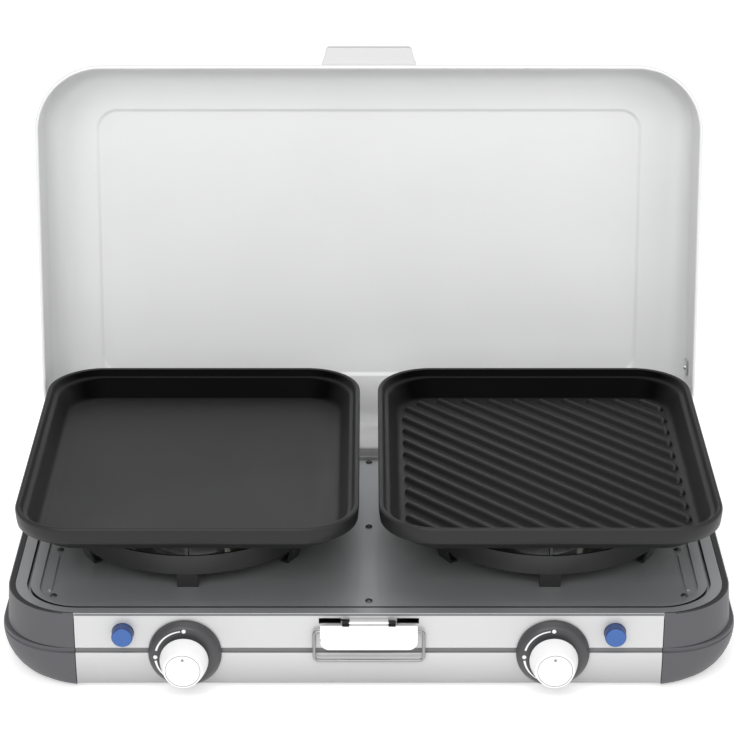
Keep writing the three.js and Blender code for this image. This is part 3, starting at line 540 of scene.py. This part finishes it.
# faces by place: painted seam shadow on the step, painted light on the side flanges, painted shade
# on the front flange
for poly in hob.data.polygons:
    x, y = abs(poly.center.x / MM), poly.center.y / MM - FRONT_Y
    inside = min(STEP_X - x, y - STEP_Y)
    if x > BEND_X and y < BEND_Y:
        inside = STEP_R - math.hypot(x - BEND_X, BEND_Y - y)
    # the step just inside the rim gets a painted seam shadow
    shadowed_step = -0.2 < inside < (5.6 if x < 225 else 3.2)
    if poly.center.z / MM - RIM_Z > -4.6 and poly.normal.z > -0.2:
        if shadowed_step:
            poly.material_index = 2
        elif inside < 0:
            poly.material_index = 3 if x < 225 else 1

for i in range(1, 8):
    low, high = (Vector(c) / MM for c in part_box(f"deck_screw_{i}"))
    x, y = (low.x + high.x) / 2, (low.y + high.y) / 2 - FRONT_Y
    head = turned(smooth_profile([(0, -3.1), (2.9, -3.1), (2.9, -2.4), (1.8, -1.6), (0, -1.45)]),
                  40, x, y)
    cross = [box(x - 1.5, x + 1.5, y - 0.3, y + 0.3, -2.1, 0),
             box(x - 0.3, x + 0.3, y - 1.5, y + 1.5, -2.1, 0)]
    piece(f"screw_{i}", cut(head, *cross), SCREW, "stove", [f"deck_screw_{i}"], bevel=0)

# ------------------------------------------------------------------ pan supports and burners
W = 8.3
strip = loft([([(92.2, -W), (94, -W), (94, W), (92.2, W)], -2.8),
              ([(98.1, -W), (99.9, -W), (99.9, W), (98.1, W)], 14.4)])
leg = join(strip, box(87.2, 94, -W, W, -2.8, -1))
blade = prism([(99, 14), (99, 34), (96, 37.7), (57, 37.7), (57, 33), (89, 28), (94, 14)],
              -1.2, 1.2, "x")
blade = moved(blade, Matrix.Rotation(-math.pi / 2, 4, "Z"))
for side, s in SIDES:
    band = turned([(98.2, 11.4), (100, 11.4), (100, 27.5), (98.2, 27.5), (98.2, 11.4)], 160)
    for i in range(6):
        turn = Matrix.Rotation(math.radians(-90 + 60 * i), 4, "Z")
        band = join(band, moved(copied(leg), turn), moved(copied(blade), turn))
    moved(band, Matrix.Translation((BURNER_X * s, BURNER_Y, 0)))
    piece(f"support_{side}", band, ENAMEL, "stove", [f"pan_support_{side}"],
          bevel=0.5)
    head = turned([(0, -38), (13, -38), (13, -26), (30, -14), (31, -12), (31, -7.8), (38, -7.8),
                   (38, -6.4), (34, -5.6), (34, 5), (29, 5), (29, 0), (0, 0)], 96)
    for i in range(12):
        port = box(29.5, 36, -1.1, 1.1, 2.2, 9)
        head = cut(head, moved(port, Matrix.Rotation(math.radians(30 * i + 15), 4, "Z")))
    moved(head, Matrix.Translation((BURNER_X * s, BURNER_Y, 0)))
    piece(f"burner_{side}", head, ALLOY, "stove", [f"burner_head_{side}"])
    lid_profile = [(0, 5.3), (34.5, 5.3), (35.5, 6.4), (34.6, 8.8), (31, 10), (16, 11.3),
                   (0, 11.8)]
    cap = turned(smooth_profile(lid_profile), 96, BURNER_X * s, BURNER_Y)
    piece(f"burner_lid_{side}", cap, ENAMEL, "stove", [f"burner_cap_{side}"],
          bevel=0, angle=50)

# ------------------------------------------------------------------ pans
PX0, PX1, PY0, PY1, P_CORNER = 7.5, 275.5, 14, 327, 46
FLOOR = 42


def pan_outline(inset):
    return outline(PX0 + inset, PX1 - inset, PY0 + inset, PY1 - inset,
                   max(P_CORNER - inset * 0.8, 14), steps=20)


wall = [(24, 38), (20.8, 38.3), (18.4, 39.4), (17, 41), (9.5, 52.6), (7, 53.2), (5.2, 50.9),
        (3.8, 50.7), (2.2, 50.8), (1.2, 52), (0.5, 57), (0.1, 62), (0.25, 63.6), (0.9, 64.7),
        (1.9, 65), (2.9, 64.9), (3.7, 64.4), (4.6, 62.8), (5.6, 60.4), (6.5, 59.3), (7.8, 58.8),
        (8.8, 58.3), (9.7, 56.8), (15, 46.4), (16.1, 44.2), (17.8, 42.6), (20, FLOOR)]


def pan_body():
    return loft([(pan_outline(i), z) for i, z in wall])


cx, cy = (PX0 + PX1) / 2, (PY0 + PY1) / 2
RIB_PITCH, RIB_TURN, RIB_TOP = 15.9, math.radians(-47), 4.0
hx, hy, field_r = (PX1 - PX0) / 2 - 22, (PY1 - PY0) / 2 - 22, 26


def in_field(p):
    qx, qy = abs(p.x) - (hx - field_r), abs(p.y) - (hy - field_r)
    return math.hypot(max(qx, 0), max(qy, 0)) + min(max(qx, qy), 0) < field_r


def paint_wall_shade(obj):
    """Gives the inner wall at the back a painted shade where it faces the front, and no lighter
    edges.
    """
    obj.data.materials.append(PAN_WALL_SHADE)
    for poly in obj.data.polygons:
        x, y, z = poly.center / MM
        y, z = y - FRONT_Y, z - RIM_Z
        bare = not in_field(Vector((abs(x) - cx, y - cy)))
        if y > cy and FLOOR + 0.05 < z < 64.2 and bare:
            poly.material_index = 1


paint_wall_shade(piece("griddle", mirrored(pan_body()), COATING, "griddle",
                  ["griddle_pan"], bevel=0, angle=50))


def rib(a, b):
    """A rounded bar from a to b on the pan's floor, its ends sloped to the floor."""
    bm = bmesh.new()
    along = (b - a).normalized()
    across = Vector((-along.y, along.x, 0))
    section = [(-3.6, -0.4), (-3.1, 0.3), (-2.5, 2), (-2, 3.3), (-1.2, 3.9), (0, RIB_TOP),
               (1.2, 3.9), (2, 3.3), (2.5, 2), (3.1, 0.3), (3.6, -0.4)]
    rows = []
    stops = ((0, 0), (0.5, 0.45), (1.3, 0.8), (2.8, 0.97), (4.5, 1))
    length = (b - a).length
    spots = list(stops) + [(length - d, k) for d, k in reversed(stops)]
    for d, k in spots:
        base = a + along * d
        rows.append([bm.verts.new(base + across * u * (0.55 + 0.45 * k)
                                  + Vector((0, 0, FLOOR + (h * k if h > 0 else h))))
                     for u, h in section])
    for low, high in zip(rows, rows[1:]):
        for i in range(len(section) - 1):
            bm.faces.new((low[i], low[i + 1], high[i + 1], high[i]))
        bm.faces.new((low[-1], low[0], high[0], high[-1]))
    bm.faces.new(rows[0])
    bm.faces.new(rows[-1])
    bmesh.ops.recalc_face_normals(bm, faces=bm.faces)
    return bm


ribs = []
along = Vector((math.cos(RIB_TURN), math.sin(RIB_TURN), 0))
normal = Vector((-along.y, along.x, 0))
for i in range(23):
    mid = normal * (i - 11) * RIB_PITCH
    inside = [t for t in range(-260, 261) if in_field(mid + along * t)]
    if len(inside) > 12:
        centre = Vector((cx, cy, 0))
        ribs.append(rib(centre + mid + along * inside[0], centre + mid + along * inside[-1]))
paint_wall_shade(piece("grill", merged(pan_body(), *ribs), COATING, "grill",
                  ["grill_pan"], bevel=0, angle=50))

# ------------------------------------------------------------------ lid
LID_HALF, LID_TOP, SHEET, DRAFT = 282.5, 76.5, 1.0, 8.5
FILLET, FILLET_DEEP = 19, 14


def lid_outline(inset, draft=0):
    front = max(57 - inset - draft * 0.5, 16)
    return outline(-LID_HALF + inset, LID_HALF - inset, inset + draft, DEPTH - inset, front,
                   57 - inset, steps=24)


def emboss(inset):
    return outline(-239 + inset, 239 - inset, 47 + inset, 288.5 - inset, 19 - inset * 0.6,
                   steps=24)


def lid_skin(inset):
    rise = ((4.0, 1.6), (3.2, 1.5), (2.5, 1.15), (1.5, 0.45), (0.8, 0.1), (0, 0))
    rings = [(emboss(i), LID_TOP + h - inset) for i, h in rise]
    for k in range(13):
        a = math.radians(90 * k / 12)
        rings.append((lid_outline(FILLET - (FILLET - inset) * math.sin(a), DRAFT),
                      LID_TOP - FILLET_DEEP + (FILLET_DEEP - inset) * math.cos(a)))
    return rings


bead = [(0, 3.2), (0, 2.0), (0.25, 1.1), (0.9, 0.6), (1.6, 0.5), (2.3, 0.7), (2.8, 1.3),
        (3, 2.1), (2.9, 2.9), (2.4, 3.6), (1.6, 4.1), (1.0, 4.6)]
shell = loft(lid_skin(0) + [(lid_outline(i), z) for i, z in bead] + lid_skin(SHEET)[::-1])
notches = [box(150 * s - 4.6, 150 * s + 4.6, 330, 340, -2, 32.5) for s in (-1, 1)]
piece("lid", cut(shell, *notches), LID_PAINT, "lid", ["lid_shell"], opened,
      bevel=0, angle=50)

plan = [(-40, -0.3), (-38.6, -3.5), (-36, -12.6), (-35, -14.2), (-33.6, -14.7), (33.6, -14.7),
        (35, -14.2), (36, -12.6), (38.6, -3.5), (40, -0.3)]
catch = cut(prism(plan, 3, 15), box(-60, 60, -9.5, -4, 11, 17))
piece("catch", catch, CATCH, "lid", ["lid_catch"], opened, bevel=0.5)

# ------------------------------------------------------------------ knobs
for side, s in SIDES:
    x = KNOB_X * s
    ring = [(8, 0.3), (28.3, 0.3), (28.3, 2.2), (27.6, 3.4), (26.4, 5.4), (25, 6.9),
            (23.4, 7.7), (21.4, 8), (8, 8), (8, 0.3)]
    piece(f"bezel_{side}", turned(ring, 128, x, 0, KNOB_Z, True), BEZEL, "stove",
          [f"knob_bezel_{side}"], bevel=0.15)
    body = smooth_profile([(3.2, 12), (18.4, 12), (18.8, 12.8), (18.4, 16), (17, 22.5),
                           (15.5, 27.4), (14.9, 29.2), (13.6, 29.7), (0, 29.7)])
    body += [(0, 25.3), (3.2, 25.3), (3.2, 12)]
    knob = turned(body, 128, x, 0, KNOB_Z, True)
    piece(f"knob_body_{side}", knob, WHITE, f"knob_{side}", [f"knob_{side}"],
          bevel=0, angle=50)
    line = turned([(13.05, 29.4), (13.55, 29.4), (13.55, 29.8), (13.05, 29.8), (13.05, 29.4)],
                  128, x, 0, KNOB_Z, True)
    piece(f"knob_line_{side}", line, MARK_GREY, f"knob_{side}", bevel=0)
    dot = turned([(0, 29.5), (1.2, 29.5), (1.2, 29.85), (0, 29.85)], 32, x, 0, KNOB_Z + 9.4, True)
    piece(f"knob_dot_{side}", dot, MARK_GREY, f"knob_{side}", bevel=0)
    marks = [turned([(0, 7.8), (r, 7.8), (r, 8.15), (0, 8.15)], 32, x + dx, 0, KNOB_Z + dz, True)
             for r, dx, dz in ((1.6, 0, 22.4), (1.6, -22.4, 0))]
    arc = bmesh.new()                  # two tapering strokes round the knob
    for first, last, w0, w1 in ((97, 165, 0.45, 0.75), (188, 236, 0.9, 0.25)):
        rows = []
        for k in range(25):
            a = math.radians(first + (last - first) * k / 24)
            wide = w0 + (w1 - w0) * k / 24
            rows.append([arc.verts.new((x + r * math.cos(a), -h, KNOB_Z + r * math.sin(a)))
                         for r, h in ((22.4 - wide, 7.8), (22.4 + wide, 7.8),
                                      (22.4 + wide, 8.12), (22.4 - wide, 8.12))])
        for low, high in zip(rows, rows[1:]):
            for i in range(4):
                arc.faces.new((low[i], low[(i + 1) % 4], high[(i + 1) % 4], high[i]))
        arc.faces.new(rows[0])
        arc.faces.new(rows[-1])
    bmesh.ops.recalc_face_normals(arc, faces=arc.faces)
    piece(f"bezel_marks_{side}", merged(arc, *marks), MARK, "stove", bevel=0)

    press = smooth_profile([(0, 8.6), (5.8, 8.9), (7.4, 8.9), (8.2, 7.9), (8.2, 6.4)], 2)
    press += [(8.2, -14), (0, -14)]
    button = turned(press, 96, BUTTON_X * s, 0, BUTTON_Z, True)
    button = piece(f"button_cap_{side}", button, BLUE, f"button_{side}",
                   [f"igniter_button_{side}"], bevel=0, angle=50)
    # the button's side faces take a darker blue, a painted shade
    button.data.materials.append(BLUE_SIDE_SHADE)
    for poly in button.data.polygons:
        if poly.normal.y > -0.75:
            poly.material_index = 1

# ------------------------------------------------------------------ latch
PIN_Y, PIN_Z, BAIL_Z, BAIL_ARM, BAIL_HALF = -3.6, -6.7, -14.2, 25, 42.2
corner = 7
low_edge = [(-37.5, -7.2)]
for c, start in ((-1, 180), (1, 270)):
    for k in range(11):
        a = math.radians(start + 9 * k)
        low_edge.append((c * (37.5 - corner) + corner * math.cos(a),
                         -27.9 + corner + corner * math.sin(a)))
low_edge.append((37.5, -7.2))
plate = prism(low_edge, PIN_Y - 4.4, PIN_Y - 2.4, "y")
arms, knuckles = [], []
for c in (-1, 1):
    a, b = sorted((c * 15.2, c * 20.5))
    d, e = sorted((c * 34.6, c * 37.5))
    circle = [(PIN_Y + 2.3 * math.cos(t * math.pi / 20), PIN_Z + 2.3 * math.sin(t * math.pi / 20))
              for t in range(40)]
    knuckles += [prism(circle, a, b, "x"), box(a, b, PIN_Y - 4.3, PIN_Y, -9.1, PIN_Z)]
    arms.append(box(d, e, PIN_Y - 4.4, -1.2, -18, -10.4))
piece("lever", join(plate, *arms), WHITE, "lever", ["latch_lever"], bevel=0.5)
piece("lever_knuckles", join(knuckles[0], *knuckles[1:]), DARK_PART_AND_SEAM_SHADOW, "lever",
      bevel=0.3)

curve = bpy.data.curves.new("bail", "CURVE")
curve.dimensions, curve.bevel_depth, curve.bevel_resolution = "3D", 1.3 * MM, 5
curve.resolution_u, curve.use_fill_caps = 16, True
path = []
for c in (-1, 1):
    turn_r = 3.6
    bottom = [(c * (BAIL_HALF - turn_r + turn_r * math.cos(math.radians(k * 11.25))),
               BAIL_Z - BAIL_ARM + turn_r - turn_r * math.sin(math.radians(k * 11.25)))
              for k in range(9)]
    top = [(c * 35.2, BAIL_Z), (c * (BAIL_HALF - 1.9), BAIL_Z),
           (c * (BAIL_HALF - 0.7), BAIL_Z - 0.5), (c * BAIL_HALF, BAIL_Z - 1.8)]
    path += (top + bottom) if c < 0 else (top + bottom)[::-1]
spline = curve.splines.new("POLY")
spline.points.add(len(path) - 1)
for point, (x, z) in zip(spline.points, path):
    point.co = (*at_rest((x, PIN_Y, z)), 1)
spline.use_smooth = True
curve.materials.append(WIRE)
bail = bpy.data.objects.new("bail_wire", curve)
bpy.context.scene.collection.objects.link(bail)
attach(bail, "bail")
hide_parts("latch_bail")

# ------------------------------------------------------------------ studio
FLOOR_GLOW = 0.42                      # the floor lights itself a little, to read as a white ground


def plane(name, size, color):
    bm = bmesh.new()
    bmesh.ops.create_grid(bm, x_segments=1, y_segments=1, size=size)
    mesh = bpy.data.meshes.new(name)
    bm.to_mesh(mesh)
    bm.free()
    obj = bpy.data.objects.new(name, mesh)
    bpy.context.scene.collection.objects.link(obj)
    pale = finish(name, color, 0, 0.9, 0.02, 0.004, 300, 0, specular=0.1)
    glow = pale.node_tree.nodes["Principled BSDF"]
    glow.inputs["Emission Color"].default_value = (1, 1, 1, 1)
    glow.inputs["Emission Strength"].default_value = FLOOR_GLOW
    obj.data.materials.append(pale)


plane("floor", 30, (0.9, 0.9, 0.9))
scene = bpy.context.scene
scene.view_settings.view_transform = "Standard"
world = bpy.data.worlds.new("studio")
scene.world = world
world.use_nodes = True
world.node_tree.nodes["Background"].inputs["Color"].default_value = (1, 1, 1, 1)
world.node_tree.nodes["Background"].inputs["Strength"].default_value = 0.5


def area(name, at, target, size, power):
    light = bpy.data.lights.new(name, "AREA")
    light.shape, light.size, light.size_y, light.energy = "RECTANGLE", *size, power
    obj = bpy.data.objects.new(name, light)
    scene.collection.objects.link(obj)
    obj.location = at
    obj.rotation_euler = (Vector(target) - Vector(at)).to_track_quat("-Z", "Y").to_euler()


area("key", (-0.4, -2.4, 1.9), (0, 0, 0.1), (2.2, 1.4), 44)
area("fill", (1.6, -1.8, 1.2), (0, 0, 0.15), (1.4, 1.4), 8)
area("top", (0, 0.0, 2.6), (0, 0, 0.1), (2.4, 1.4), 19)

# ------------------------------------------------------------------ camera
SENSOR, FOCAL, PITCH = 36, 127.1739, math.radians(23.27)     # mm, mm
camera = bpy.data.cameras.new("camera")
camera.sensor_width, camera.lens = SENSOR, FOCAL
camera.shift_x = -0.001223
camera.clip_end = 100
view = bpy.data.objects.new("camera", camera)
scene.collection.objects.link(view)
view.location = (0, (FRONT_Y - 1758.4) * MM, (RIM_Z + 961.1) * MM)
view.rotation_euler = (math.pi / 2 - PITCH, 0, 0)
scene.camera = view
